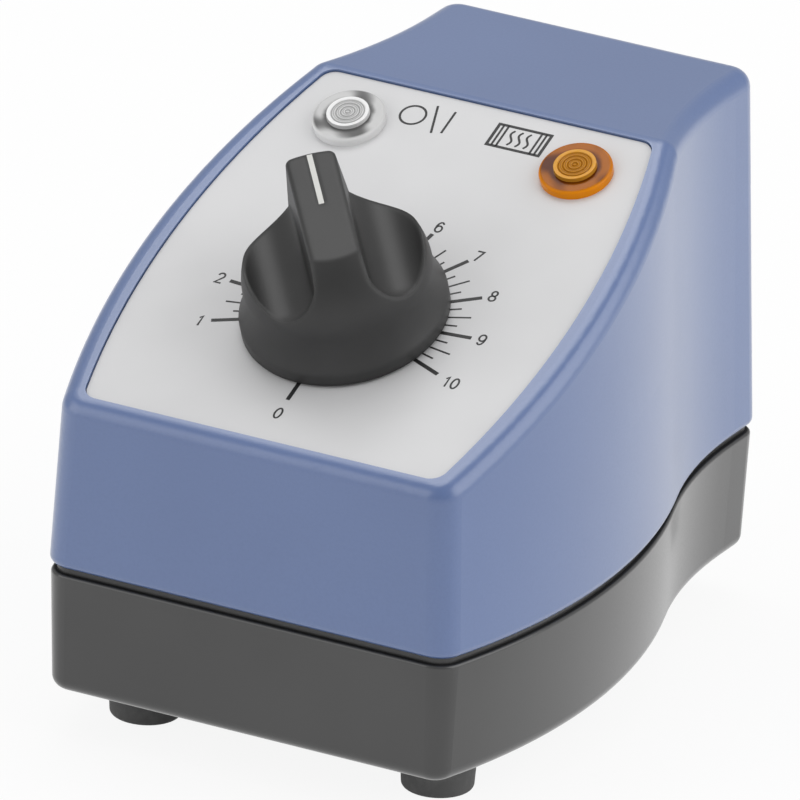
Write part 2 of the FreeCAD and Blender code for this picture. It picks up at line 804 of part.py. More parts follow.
def make_cam():
    """Disc whose radius grows evenly with angle, so that the carriage moves in step with the knob.

    Turning the knob clockwise brings larger radii under the follower, which lies up the slope.
    """
    points = []
    steps = 24
    for step in range(steps + 1):
        spiral = cam_span * step / steps
        radius = cam_low_radius + cam_rate * spiral
        angle = math.radians(90 + spiral - resting_spiral)
        points.append(V(radius * math.cos(angle), radius * math.sin(angle), cam_low))
    curve = Part.BSplineCurve()
    curve.interpolate(points)
    face = Part.Face(Part.Wire([curve.toShape(), line(points[-1], points[0])]))
    disc = face.extrude(Z_AXIS * cam_thickness)
    return disc.cut(Part.makeCylinder(shaft_radius, cam_thickness, V(0, 0, cam_low)))


def make_follower():
    """Sliding block with a round nose against the cam."""
    height = follower_high - follower_low
    nose = Part.makeCylinder(follower_half, height, V(0, follower_y + follower_half, follower_low))
    back = box(-follower_half, follower_half, follower_y + follower_half, follower_end,
               follower_low, follower_high)
    return nose.fuse(back).removeSplitter()


def make_bimetal():
    """Strip across the top of the follower whose free end works the snap blade."""
    return box(follower_half - bimetal_length, follower_half, bimetal_y - bimetal_width, bimetal_y,
               follower_high, follower_high + bimetal_thickness)


def make_snap_blade():
    """Spring blade that stands off the case wall on its rivets."""
    return box(blade_x, blade_x + blade_length, blade_y, blade_y + blade_thickness,
               follower_high - blade_height, follower_high + blade_height / 4)


def make_rivets():
    rivets = []
    for share in (0.25, 0.75):
        start = V(blade_x + blade_length * share, blade_y + blade_thickness, follower_high - blade_height / 2)
        rivets.append(Part.makeCylinder(rivet_radius, rivet_stand, start, Y_AXIS))
    return rivets


def tab_places():
    return [V(x * tab_spread, y * tab_spread, 0) for x in (-1, 1) for y in (-1, 1)]


def make_tabs():
    tabs = []
    for place in tab_places():
        tabs.append(box(place.x - tab_width / 2, place.x + tab_width / 2,
                        place.y - tab_thickness / 2, place.y + tab_thickness / 2,
                        case_low - tab_reach, case_floor))
    return tabs


def make_case():
    half = case_size / 2
    case = box(-half, half, -half, half, case_low, case_high)
    case = case.makeFillet(case_wall, [edge for edge in case.Edges
                                       if edge.tangentAt(edge.FirstParameter).isParallel(Z_AXIS, 0.01)])
    case = case.cut(box(-case_inner, case_inner, -case_inner, case_inner, case_floor, case_high))
    pivot = Part.makeCylinder(pivot_radius, pivot_top, V(0, 0, case_floor))
    guide = box(-guide_half, guide_half, guide_y, case_inner, case_floor, follower_high - slide_fit)
    channel = box(-follower_half - slide_fit, follower_half + slide_fit, guide_y, case_inner,
                  follower_low - slide_fit, follower_high)
    case = case.fuse([pivot, guide.cut(channel)])
    case = case.cut(Part.makeCylinder(shaft_radius + shaft_fit, pivot_top, V(0, 0, shaft_low)))
    return case.cut(make_tabs()).removeSplitter()


def make_cover():
    """Steel cover of the case with the threaded bush that goes through the panel."""
    half = case_size / 2
    plate = box(-half, half, -half, half, case_high, panel_under)
    bush = Part.makeCylinder(bush_radius, bush_height - panel_under, V(0, 0, panel_under))
    bore_start = V(0, 0, panel_under - 2 * cover_thickness)
    bore = Part.makeCylinder(shaft_radius + shaft_fit, 2 * bush_height - panel_under, bore_start)
    return plate.fuse(bush).cut(bore)


def make_washer():
    return spun([(bush_radius, 0), (washer_radius, 0), (washer_radius, washer_thickness),
                 (bush_radius, washer_thickness)])


def make_bush_nut():
    nut = hexagon(nut_across_flats, nut_thickness, washer_thickness)
    return nut.cut(Part.makeCylinder(bush_radius, nut_thickness, V(0, 0, washer_thickness)))


def make_lens():
    """Lamp lens with a rounded flange, a ringed crown and a hollow stem through the panel."""
    inner = stem_radius - stem_wall
    roof_height = lens_flange - lens_skin
    profile = [(inner, -stem_length), (stem_radius, -stem_length), (stem_radius, 0), (lens_radius, 0),
               (lens_radius, lens_flange), (lens_crown_radius, lens_flange),
               (lens_crown_radius, lens_crown_height)]
    pitch = lens_crown_radius / (lens_rings + 0.5)
    for k in range(lens_rings):
        middle = lens_crown_radius - pitch * (k + 1)
        profile.append((middle + lens_groove_half, lens_crown_height))
        profile.append((middle, lens_crown_height - lens_groove_depth))
        profile.append((middle - lens_groove_half, lens_crown_height))
    profile = profile + [(0, lens_crown_height), (0, roof_height), (inner, roof_height)]
    lens = spun(profile)
    return lens.makeFillet(lens_edge_round, circles_at(lens, lens_radius, lens_flange))


def make_holder():
    inner = stem_radius - stem_wall
    low = -stem_length - holder_length
    return spun([(0, low), (stem_radius, low), (stem_radius, -stem_length), (inner, -stem_length),
                 (inner, low + holder_floor), (0, low + holder_floor)])


def make_bulb():
    low = -stem_length - holder_length + holder_floor
    straight = bulb_length - bulb_radius
    glass = Part.makeCylinder(bulb_radius, straight, V(0, 0, low))
    return glass.fuse(Part.makeSphere(bulb_radius, V(0, 0, low + straight))).removeSplitter()


def make_lamp_clip():
    """Push-on ring that holds the lens stem under the panel."""
    low = panel_under - lamp_clip_thickness
    return spun([(stem_radius, low), (lamp_clip_radius, low), (lamp_clip_radius, panel_under),
                 (stem_radius, panel_under)])


def pin_places(z_middle):
    """Live, neutral and earth of a plug face: live and neutral low, earth high."""
    low = z_middle - pin_offset
    high = z_middle + pin_offset
    return {"live": V(pin_spread, 0, low), "neutral": V(-pin_spread, 0, low), "earth": V(0, 0, high)}


def blade_at(place, y_low, y_high, grow):
    return box(place.x - pin_width / 2 - grow, place.x + pin_width / 2 + grow, y_low, y_high,
               place.z - pin_height / 2 - grow, place.z + pin_height / 2 + grow)


def socket_screw_places():
    return [V(side * socket_screw_spread, pocket_floor, z) for z in (inlet_z, outlet_z) for side in (-1, 1)]


def countersink(top):
    """Cone of a countersunk screw head, down from its flush face at a point."""
    depth = socket_screw_head - socket_screw_radius
    return Part.makeCone(socket_screw_radius, socket_screw_head, depth, top - Y_AXIS * depth, Y_AXIS)


def flange_plate(height, z):
    plate = rounded_box(flange_half_width, height, pocket_floor, flange_face, z, pocket_corner)
    for side in (-1, 1):
        top = V(side * socket_screw_spread, flange_face, z)
        hole = rod(socket_screw_radius + screw_fit, top - Y_AXIS * flange_thickness, top)
        plate = plate.cut(countersink(top).fuse(hole))
    return plate


def make_pins():
    return [blade_at(place, socket_back - pin_tail, flange_face - pin_recess, 0)
            for place in pin_places(plug_z).values()]


def drawer_block(grow, y_low, y_high):
    return box(-drawer_half_width - grow, drawer_half_width + grow, y_low, y_high,
               drawer_z - drawer_height / 2 - grow, drawer_z + drawer_height / 2 + grow)


def make_inlet():
    body = box(-inlet_half_width, inlet_half_width, socket_back, pocket_floor,
               inlet_z - inlet_body_height / 2, inlet_z + inlet_body_height / 2)
    body = body.fuse(flange_plate(inlet_flange_height, inlet_z))
    body = body.cut(rounded_box(plug_width / 2, plug_height, plug_floor, flange_face, plug_z, plug_corner))
    body = body.cut(make_pins())
    return body.cut(drawer_block(drawer_gap, drawer_back - drawer_gap, flange_face))


def make_drawer():
    """Fuse drawer with a lip for the finger nail and an open trough for the cartridge."""
    tray = drawer_block(0, drawer_back, flange_face + drawer_gap)
    lip_low = flange_face + drawer_gap
    lip_high = lip_low + drawer_lip
    lip = drawer_block(drawer_lip_margin, lip_low, lip_high)
    lip = lip.makeFillet(drawer_lip_round, [edge for edge in lip.Edges
                                            if all(vertex.Y > lip_high - pick for vertex in edge.Vertexes)])
    half = fuse_length / 2 + drawer_gap
    trough = box(-half, half, fuse_y - fuse_trough / 2, fuse_y + fuse_trough / 2,
                 drawer_z - fuse_trough / 2, drawer_z + drawer_height / 2)
    return tray.fuse(lip).cut(trough)


def make_fuse():
    """Glass cartridge with two end caps, slightly larger than the glass."""
    start = V(-fuse_length / 2, fuse_y, drawer_z)
    glass = rod(fuse_glass_radius, start, start + X_AXIS * fuse_length)
    far = start + X_AXIS * fuse_length
    cap = X_AXIS * fuse_cap
    ends = [rod(fuse_radius, start, start + cap), rod(fuse_radius, far - cap, far)]
    return glass.fuse(ends).removeSplitter()


def make_outlet():
    body = box(-outlet_half_width, outlet_half_width, socket_back, pocket_floor,
               outlet_z - outlet_body_height / 2, outlet_z + outlet_body_height / 2)
    body = body.fuse(flange_plate(outlet_flange_height, outlet_z))
    groove = rounded_box(shroud_width / 2, shroud_height, plug_floor, flange_face, outlet_z, plug_corner)
    core = rounded_box(shroud_width / 2 - shroud_gap, shroud_height - 2 * shroud_gap, plug_floor, flange_face,
                       outlet_z, plug_corner)
    body = body.cut(groove.cut(core))
    for place in pin_places(outlet_z).values():
        body = body.cut(blade_at(place, flange_face - slot_depth, flange_face, slot_gap))
    return body.cut(make_contacts())


def make_contacts():
    return [blade_at(place, socket_back - pin_tail, flange_face - slot_depth, 0)
            for place in pin_places(outlet_z).values()]


def make_socket_screw(place):
    """Countersunk screw: its head is flush with the flange and its shank points inwards."""
    top = V(place.x, flange_face, place.z)
    shank = rod(socket_screw_radius, top - Y_AXIS * socket_screw_length, top)
    slot = box(-socket_screw_head, socket_screw_head, -socket_screw_slot, socket_screw_slot,
               -socket_screw_slot / 2, socket_screw_slot / 2)
    return countersink(top).fuse(shank).cut(moved(slot, top)).removeSplitter()


def make_socket_nut(place):
    nut = hexagon(socket_nut_across, socket_nut_thickness, 0)
    nut = nut.cut(Part.makeCylinder(socket_screw_radius, socket_nut_thickness))
    return moved(facing_rear(nut), place - Y_AXIS * (pad_thickness + socket_nut_thickness))


def tab_sleeves():
    """Insulating sleeves pushed over the regulator's tabs, in the panel frame."""
    sleeves = []
    high = case_low - sleeve_margin
    half = tab_width / 2 + sleeve_margin
    for place in tab_places():
        sleeve = box(-half, half, -sleeve_size / 2, sleeve_size / 2, high - sleeve_length, high)
        sleeves.append(on_panel(moved(sleeve, place).cut(make_tabs())))
    return sleeves


def socket_sleeves():
    """Sleeves over the tails of the inlet pins and outlet contacts."""
    sleeves = []
    half = sleeve_size / 2
    for z_middle, blades in ((plug_z, make_pins()), (outlet_z, make_contacts())):
        for place in pin_places(z_middle).values():
            y_high = socket_back - sleeve_margin
            sleeve = box(-half, half, y_high - sleeve_length, y_high, -half, half)
            sleeves.append(moved(sleeve, place).cut(blades))
    return sleeves


def wire(radius, points):
    """Round wire along straight runs joined by arcs as large as the runs allow."""
    edges = []
    start = points[0]
    for before, corner, after in zip(points, points[1:], points[2:]):
        into = (corner - before).normalize()
        out = (after - corner).normalize()
        half_turn = into.getAngle(out) / 2
        reach = bend_share * min((corner - before).Length, (after - corner).Length)
        bend = reach / math.tan(half_turn)
        first = corner - into * reach
        last = corner + out * reach
        inward = (out - into).normalize()
        middle = corner + inward * (bend / math.cos(half_turn) - bend)
        edges = edges + [line(start, first), arc(first, middle, last)]
        start = last
    edges.append(line(start, points[-1]))
    path = Part.Wire(edges)
    ring = Part.Wire([Part.makeCircle(radius, points[0], points[1] - points[0])])
    solid = path.makePipeShell([ring], True, False)
    expected = math.pi * radius ** 2 * path.Length
    print("wire length", round(path.Length), "volume share", round(solid.Volume / expected, 4))
    return solid


def tab_wire_start(x, y):
    """First two points of a wire that leaves a regulator tab straight out of its sleeve."""
    start = panel_point(x * tab_spread, y * tab_spread, sleeve_end_out)
    return [start, start - out_of_panel * wire_drop]


def socket_wire_end(place):
    """Last two points of a wire that enters a socket sleeve from the front."""
    end = V(place.x, sleeve_end_y, place.z)
    return [end - Y_AXIS * loop_reach, end]


def loop_wire(low_place, high_place):
    """Short link from an inlet sleeve up to the outlet sleeve above it."""
    low = socket_wire_end(low_place)
    high = socket_wire_end(high_place)
    middle_z = (low_place.z + high_place.z) / 2
    bulge = V(low_place.x, sleeve_end_y - loop_depth, middle_z)
    return wire(wire_radius, [low[1], low[0], bulge, high[0], high[1]])


def make_live_wires():
    inlet_live = pin_places(plug_z)["live"]
    outlet_live = pin_places(outlet_z)["live"]
    supply_end = socket_wire_end(inlet_live)
    low = V(inlet_live.x + wire_radius, supply_end[0].y - loop_depth, wire_floor)
    supply = wire(wire_radius, tab_wire_start(1, 1) + [low] + supply_end)
    load_end = socket_wire_end(outlet_live)
    beside = 2.5 * pin_spread
    load_route = [V(tab_spread + beside, y_front + load_wire_turn, wire_floor - 4 * wire_radius),
                  V(tab_spread + beside, load_end[0].y - loop_depth, wire_floor + loop_depth),
                  V(inlet_live.x + beside, load_end[0].y - loop_reach, outlet_live.z - loop_reach)]
    load = wire(wire_radius, tab_wire_start(1, -1) + load_route + load_end)
    return [supply, load]


def make_neutral_wires():
    inlet_neutral = pin_places(plug_z)["neutral"]
    link = loop_wire(inlet_neutral, pin_places(outlet_z)["neutral"])
    under_sleeve = V(inlet_neutral.x, sleeve_end_y + sleeve_length / 2, inlet_neutral.z - sleeve_size / 2)
    low = V(inlet_neutral.x - wire_radius, under_sleeve.y - loop_depth, wire_floor)
    rise = under_sleeve - Z_AXIS * loop_reach
    branch = wire(wire_radius, tab_wire_start(-1, 1) + [low, rise, under_sleeve])
    return [link, branch]


def make_earth_wire():
    return loop_wire(pin_places(plug_z)["earth"], pin_places(outlet_z)["earth"])


def lead_start(side, offset):
    """First two points of a lamp lead that leaves its holder straight down."""
    start = panel_point(side * lamp_half_spacing() + offset, lamp_up, -stem_length - holder_length)
    return [start, start - out_of_panel * loop_reach]


def make_lamp_leads():
    """The clear lamp hangs on the inlet sleeves and the amber lamp on the outlet sleeves."""
    inlet = pin_places(plug_z)
    outlet = pin_places(outlet_z)
    middle_y = sleeve_end_y + sleeve_length / 2
    half = sleeve_size / 2
    beside = V(inlet["neutral"].x - half, middle_y, inlet["neutral"].z)
    clear_neutral = wire(lead_radius, lead_start(-1, -lead_offset)
                         + [beside - X_AXIS * loop_depth, beside])
    under = V(inlet["live"].x, middle_y, inlet["live"].z - half)
    clear_live = wire(lead_radius, lead_start(-1, lead_offset)
                      + [V(inlet["neutral"].x - loop_reach, middle_y - loop_reach, under.z - loop_reach),
                         under - Z_AXIS * loop_reach, under])
    above = V(outlet["live"].x, middle_y, outlet["live"].z + half)
    amber_live = wire(lead_radius, lead_start(1, -lead_offset)
                      + [V(lamp_half_spacing(), middle_y, outlet_z), above + V(loop_reach, 0, loop_reach),
                         above + Z_AXIS * loop_reach / 2, above])
    over = V(outlet["neutral"].x, middle_y + lead_offset, outlet["neutral"].z + half)
    amber_neutral = wire(lead_radius, lead_start(1, lead_offset)
                         + [V(lamp_half_spacing() + lead_offset, over.y, outlet_z + loop_reach / 2),
                            over + V(loop_depth, 0, loop_depth), over + Z_AXIS * loop_reach, over])
    return [clear_neutral, clear_live, amber_live, amber_neutral]


os.makedirs("parts", exist_ok=True)

save("base_tray", make_base_tray())
save("top_housing", make_top_housing())
save("front_label", make_front_label())
save("rubber_feet", *[moved(make_foot(), place) for place in foot_places()])

foot_screw_start = -foot_height + foot_bore_depth - screw_head_height
foot_screw_length = foot_height - foot_bore_depth + tray_floor + foot_boss_height - 2 * foot_boss_cap
foot_screw = screw(foot_screw_length)
save("foot_screws", *[moved(foot_screw, place + Z_AXIS * foot_screw_start) for place in foot_places()])

case_screw_start = z_tray + screw_recess - screw_head_height
case_screw_length = pillar_joint + pillar_thread - z_tray - screw_recess
case_screw = screw(case_screw_length)
save("housing_screws", *[moved(case_screw, place + Z_AXIS * case_screw_start) for place in pillar_places()])

clear_place, amber_place = lamp_places()
save("clear_lens", on_panel(moved(make_lens(), clear_place)))
save("amber_lens", on_panel(moved(make_lens(), amber_place)))
save("lamp_holders", *[on_panel(moved(make_holder(), place)) for place in lamp_places()])
save("lamp_clips", *[on_panel(moved(make_lamp_clip(), place)) for place in lamp_places()])
save("neon_bulbs", *[on_panel(moved(make_bulb(), place)) for place in lamp_places()])

save("control_knob", on_panel(turned(make_knob(), Z_AXIS, resting_turn)))
save("pointer_line", on_panel(turned(make_pointer_line(), Z_AXIS, resting_turn)))
save("knob_clip", on_panel(turned(make_knob_clip(), Z_AXIS, resting_turn)))
save("control_shaft", on_panel(turned(make_shaft(), Z_AXIS, resting_turn)))
save("control_cam", on_panel(make_cam()))
save("cam_follower", on_panel(make_follower()))
save("bimetal_strip", on_panel(make_bimetal()))
save("snap_blade", on_panel(make_snap_blade()))
save("contact_rivets", *[on_panel(rivet) for rivet in make_rivets()])
save("regulator_case", on_panel(make_case()))
save("regulator_cover", on_panel(make_cover()))
save("regulator_tabs", *[on_panel(tab) for tab in make_tabs()])
save("bush_washer", on_panel(make_washer()))
save("bush_nut", on_panel(make_bush_nut()))

save("mains_inlet", make_inlet())
save("inlet_pins", *make_pins())
save("fuse_drawer", make_drawer())
save("fuse_link", make_fuse())
save("load_outlet", make_outlet())
save("outlet_contacts", *make_contacts())
save("socket_screws", *[make_socket_screw(place) for place in socket_screw_places()])
save("socket_nuts", *[make_socket_nut(place) for place in socket_screw_places()])

save("wire_sleeves", *(tab_sleeves() + socket_sleeves()))
save("live_wires", *make_live_wires())
save("neutral_wires", *make_neutral_wires())
save("earth_wire", make_earth_wire())
save("lamp_leads", *make_lamp_leads())

travel = cam_rate * 180 / math.pi
print("dial centre", dial_centre, "out of panel", out_of_panel)
print("knob turns", -turn_down, "to", turn_up, "degrees; carriage moves", round(travel, 4), "mm a radian")
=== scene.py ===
# %% [markdown]
# # Dressing a bench power regulator
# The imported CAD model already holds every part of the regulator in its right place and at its
# real size, in metres. This lesson gives it its looks: the camera of the photograph, soft studio
# light, moulded, rubber, metal and lens finishes, and the ink that is printed on the front label.
# Loading the model first means that nothing here has to be fitted by eye: each new piece takes
# its place from the model itself.

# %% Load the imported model
import json

import bpy
import numpy as np
from mathutils import Matrix, Vector


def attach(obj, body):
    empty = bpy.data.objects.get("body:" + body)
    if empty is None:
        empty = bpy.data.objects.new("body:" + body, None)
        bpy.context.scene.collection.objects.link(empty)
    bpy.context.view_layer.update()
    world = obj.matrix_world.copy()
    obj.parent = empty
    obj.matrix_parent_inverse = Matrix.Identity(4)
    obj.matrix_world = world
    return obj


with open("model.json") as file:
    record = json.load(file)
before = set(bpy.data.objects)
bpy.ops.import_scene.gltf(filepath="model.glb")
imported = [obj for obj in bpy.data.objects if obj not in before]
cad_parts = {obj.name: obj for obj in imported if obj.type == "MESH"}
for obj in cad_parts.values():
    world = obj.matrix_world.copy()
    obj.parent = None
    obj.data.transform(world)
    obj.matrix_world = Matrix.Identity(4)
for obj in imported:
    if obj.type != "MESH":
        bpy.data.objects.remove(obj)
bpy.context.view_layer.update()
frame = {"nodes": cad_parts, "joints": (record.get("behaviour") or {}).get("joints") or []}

nodes = frame["nodes"]
MM = 0.001

# %% [markdown]
# ## The camera
# A product photograph of this kind is taken from far away with a long lens, so that the box
# hardly narrows towards its back. The camera's place and its three directions were worked out
# from the photograph's edges. They could also be set by a target and a track-to constraint, but
# plain columns of a matrix keep the slight roll of the real camera.

# %% Camera
CAMERA_PLACE = (1.999483, -3.856092, 1.843783)
CAMERA_RIGHT = (0.87927406, 0.4748219, 0.03770002)
CAMERA_UP = (-0.21060955, 0.31657143, 0.92489251)
CAMERA_BACK = (0.42722447, -0.82117397, 0.37835507)
SENSOR_WIDTH = 36.0
LENS_LENGTH = 882.73

view = bpy.data.cameras.new("photo_view")
view.sensor_width = SENSOR_WIDTH
view.lens = LENS_LENGTH
camera = bpy.data.objects.new("photo_view", view)
placed = Matrix((CAMERA_RIGHT, CAMERA_UP, CAMERA_BACK)).transposed().to_4x4()
placed.translation = CAMERA_PLACE
camera.matrix_world = placed
bpy.context.scene.collection.objects.link(camera)
bpy.context.scene.camera = camera
print("camera stands", round(camera.location.length, 2), "m from the regulator")

# %% [markdown]
# ## A socket that can be reckoned with
# A finish is a small sum over a surface: a bit of grain, a bit of wear, a slow drift of shade. In
# the node editor such a sum is a tangle of Math nodes. Here one class wraps a socket, and its
# operators add those nodes, so a finish can be read as a line of arithmetic.

# %% Shader arithmetic


class Sock:
    """An output socket of a material. Operators add Math nodes, and node() adds any other."""

    def __init__(self, tree, socket=None):
        self.tree = tree
        self.socket = socket

    def node(self, kind, inputs=(), out=0, **settings):
        """Adds a node: its settings first, then the values or links of its sockets."""
        made = self.tree.nodes.new("ShaderNode" + kind)
        for name, value in settings.items():
            setattr(made, name, value)
        for name, value in dict(inputs).items():
            if isinstance(value, Sock):
                self.tree.links.new(value.socket, made.inputs[name])
            else:
                made.inputs[name].default_value = value
        return Sock(self.tree, made.outputs[out]) if out is not None else None

    def math(self, operation, first, second=0.0):
        """Adds a Math node that works on two sockets or numbers."""
        return self.node("Math", {0: first, 1: second}, operation=operation)

    def vector(self, operation, first, second=(0.0, 0.0, 0.0), out="Vector"):
        """Adds a Vector Math node. A length or a dot product comes out as its Value."""
        return self.node("VectorMath", {0: first, 1: second}, out=out, operation=operation)

    def __add__(self, other):
        return self.math("ADD", self, other)

    def __sub__(self, other):
        return self.math("SUBTRACT", self, other)

    def __rsub__(self, other):
        return self.math("SUBTRACT", other, self)

    def __mul__(self, other):
        return self.math("MULTIPLY", self, other)

    __radd__ = __add__
    __rmul__ = __mul__


def between(value, low, high):
    """0 below low, 1 above high, with a smooth ramp between them."""
    sockets = {"Value": value, "From Min": low, "From Max": high}
    return value.node("MapRange", sockets, interpolation_type="SMOOTHSTEP")


def blend(share, first, second):
    """The first colour where share is 0, and the second where it is 1."""
    return share.node("Mix", {0: share, 6: first, 7: second}, out=2, data_type="RGBA")


def rgb(red, green, blue):
    """A colour as it looks on screen, 0 to 255 a channel, as the linear values shaders use."""
    screen = np.array((red, green, blue)) / 255
    linear = np.where(screen > 0.04045, ((screen + 0.055) / 1.055) ** 2.4, screen / 12.92)
    return (*linear.tolist(), 1.0)


def grey(level):
    """A neutral colour as it looks on screen, 0 to 255."""
    return rgb(level, level, level)


print("the grey 128 on screen is", round(grey(128)[0], 3), "in linear light")

# %% [markdown]
# ## What a surface can tell
# A finish asks the surface where it is grained, where hands rub it and where it is hidden from
# the light. Such maps could be painted or baked, but a shader finds them by itself: noise gives
# grain, a Bevel node finds corners, Ambient Occlusion finds gaps, and a Bump node turns a height
# into relief.

# %% Surface helpers
RUB_START, RUB_FULL = 0.01, 0.22
GAP_FREE, OPEN_FREE = 0.45, 0.85


def noise(place, size, detail=2.0):
    """Cloudy noise from 0 to 1 whose lumps are about size metres across."""
    sockets = {"Vector": place, "Scale": 1 / size, "Detail": detail, "Roughness": 0.55}
    return place.node("TexNoise", sockets)


def softened(start, radius):
    """The surface's normal as if its corners were rounded over by a radius."""
    return start.node("Bevel", {"Radius": radius}, samples=6)


def rubbed_edges(start, radius):
    """Near 1 on corners that hands rub: where a rounded-over normal leaves the real one."""
    rounded = softened(start, radius)
    flat = start.node("NewGeometry", out="Normal")
    both = start.vector("DOT_PRODUCT", rounded, flat, out="Value")
    return between(1 - both, RUB_START, RUB_FULL)


def crevice(start, reach):
    """Near 1 in narrow gaps and 0 in the open: the mask of the shade painted into gaps.

    Ambient Occlusion gives the share of directions that are free of walls within reach.
    """
    free = start.node("AmbientOcclusion", {"Distance": reach}, out="AO", samples=8)
    return 1 - between(free, GAP_FREE, OPEN_FREE)


def relief(height, deep, strength=1.0, base=None):
    """A normal tilted by a height from 0 to 1 that stands deep metres proud.

    The height stands on the surface itself, or on the normal given as a base.
    """
    sockets = {"Height": height, "Distance": deep, "Strength": strength}
    if base is not None:
        sockets["Normal"] = base
    return height.node("Bump", sockets, out="Normal")


def finish(name, paint, **fixed):
    """A Principled material: paint gives what varies over it, and fixed what stays the same."""
    material = bpy.data.materials.new(name)
    material.use_nodes = True
    material.node_tree.nodes.clear()
    start = Sock(material.node_tree)
    place = start.node("TexCoord", out="Object")
    sockets = {key.replace("_", " "): value for key, value in fixed.items()}
    sockets.update(paint(start, place))
    surface = start.node("BsdfPrincipled", sockets, out="BSDF")
    start.node("OutputMaterial", {"Surface": surface}, out=None)
    return material


print("a surface can tell its grain, its rubbed edges, its gaps and its relief")

# %% [markdown]
# ## Moulded cases
# Both halves of the case are injection moulded. The blue upper half comes from a spark-eroded
# mould, which leaves a fine dull grain, and its corners are rubbed a little paler. The dark tray
# is smoother and shinier. The narrow gaps under the case and the knob get painted shade, nearly
# black, so that they show as clean lines in soft light too. Image textures could show this, but
# noise on Object coordinates has no seams and keeps its grain at the same real size on every face.

# %% Moulded finishes
CLOUD_LOW, CLOUD_HIGH = 0.3, 0.7
WEAR_SHARE = 0.3
GAP_REACH = 3 * MM


def clouds(place, size, first, second):
    """Two near shades of one colour in soft clouds of a size."""
    return blend(between(noise(place, size), CLOUD_LOW, CLOUD_HIGH), first, second)


def blue_moulding(start, place):
    """Fine dull grain that is a little darker in its pits, with paler corners."""
    grain = noise(place, 0.7 * MM, detail=3.0)
    worn = rubbed_edges(start, 1.2 * MM)
    shade = clouds(place, 60 * MM, rgb(76, 102, 153), rgb(80, 106, 157))
    shade = blend(between(grain, 0.35, 0.75) * 0.25, shade, rgb(66, 92, 143))
    return {"Base Color": blend(worn * WEAR_SHARE, shade, rgb(124, 145, 186)),
            "Roughness": 0.34 + 0.1 * grain - 0.06 * worn,
            "Normal": relief(grain, 0.05 * MM, 0.3)}


def dark_moulding(start, place):
    """Smooth dark grey under a thin gloss, dull in the gaps, where shade is painted nearly black.
    """
    grain = noise(place, 0.5 * MM, detail=3.0)
    worn = rubbed_edges(start, 0.9 * MM)
    shaded_gap = crevice(start, GAP_REACH)
    shade = clouds(place, 45 * MM, grey(50), grey(56))
    shade = blend(worn * WEAR_SHARE, shade, rgb(106, 106, 104))
    # Painted shade: the base colour goes nearly black in the gaps.
    return {"Base Color": blend(shaded_gap, shade, grey(8)),
            "Coat Weight": 0.55 - 0.55 * shaded_gap,
            "Roughness": 0.26 + 0.1 * grain - 0.05 * worn + 0.5 * shaded_gap,
            "Normal": relief(grain, 0.03 * MM, 0.2)}


def knob_moulding(start, place):
    """Satin black with edges that look rounded over, dull in the gaps, where shade is painted
    nearly black.
    """
    grain = noise(place, 0.45 * MM, detail=3.0)
    worn = rubbed_edges(start, 0.8 * MM)
    shaded_gap = crevice(start, GAP_REACH)
    shade = clouds(place, 12 * MM, grey(34), grey(38))
    shade = blend(worn * WEAR_SHARE, shade, grey(96))
    # Painted shade: the base colour goes nearly black in the gaps, such as under the knob's skirt.
    return {"Base Color": blend(shaded_gap, shade, grey(6)),
            "Roughness": 0.4 + 0.1 * grain - 0.08 * worn + 0.5 * shaded_gap,
            "Normal": relief(grain, 0.03 * MM, 0.25, softened(start, 1.8 * MM))}


def black_moulding(start, place):
    """Plain black of the sockets, with paler corners."""
    grain = noise(place, 0.4 * MM)
    worn = rubbed_edges(start, 0.5 * MM)
    return {"Base Color": blend(worn * WEAR_SHARE, rgb(34, 34, 35), grey(82)),
            "Roughness": 0.34 + 0.14 * grain,
            "Normal": relief(grain, 0.03 * MM, 0.25)}


def white_moulding(start, place):
    """Warm white in slow clouds."""
    grain = noise(place, 0.5 * MM)
    cloud = noise(place, 9 * MM)
    return {"Base Color": blend(cloud, rgb(206, 206, 202), rgb(216, 216, 212)),
            "Roughness": 0.4 + 0.12 * grain,
            "Normal": relief(grain, 0.03 * MM, 0.2)}


finishes = {
    "blue_case": finish("blue_moulding", blue_moulding,
                        Coat_Weight=1.0, Coat_Roughness=0.3, Coat_IOR=1.7),
    "dark_case": finish("dark_moulding", dark_moulding, Coat_Roughness=0.12),
    "knob_black": finish("knob_moulding", knob_moulding, IOR=1.55),
    "black_plastic": finish("black_moulding", black_moulding),
    "white_plastic": finish("white_moulding", white_moulding),
}
print("moulded finishes:", ", ".join(finishes))

# %% [markdown]
# ## Film, rubber and metal
# The label is a matt polyester film, the feet are rubber with a dull bloom, and the screws, pins
# and springs are zinc-plated steel, spring steel and brass. Each could be one flat colour, but
# metals get their look from roughness far more than from colour, so fine scratches drive the
# roughness.

# %% Film, rubber and metal finishes


def label_film(start, place):
    """Pale matt film with a velvet surface."""
    velvet = noise(place, 0.25 * MM)
    return {"Base Color": clouds(place, 35 * MM, rgb(210, 210, 211), rgb(215, 215, 216)),
            "Roughness": 0.42 + 0.12 * velvet,
            "Normal": relief(velvet, 0.01 * MM, 0.2)}


def dull_rubber(start, place):
    """Grained dark grey with a paler bloom in patches."""
    grain = noise(place, 0.4 * MM, detail=3.0)
    bloom = between(noise(place, 4 * MM, detail=3.0), 0.45, 0.8)
    return {"Base Color": blend(bloom * 0.5, grey(90), rgb(116, 116, 115)),
            "Roughness": 0.68 + 0.2 * grain,
            "Normal": relief(grain, 0.05 * MM, 0.4)}


def plated(pale, dark, size, smooth):
    """Paint for a metal: two shades in clouds of a size, with scratches in the roughness."""

    def paint(start, place):
        cloud = noise(place, size, detail=3.0)
        scratch = noise(place, 0.15 * MM)
        return {"Base Color": blend(cloud, dark, pale),
                "Roughness": smooth + 0.22 * scratch,
                "Normal": relief(scratch, 0.01 * MM, 0.3)}

    return paint


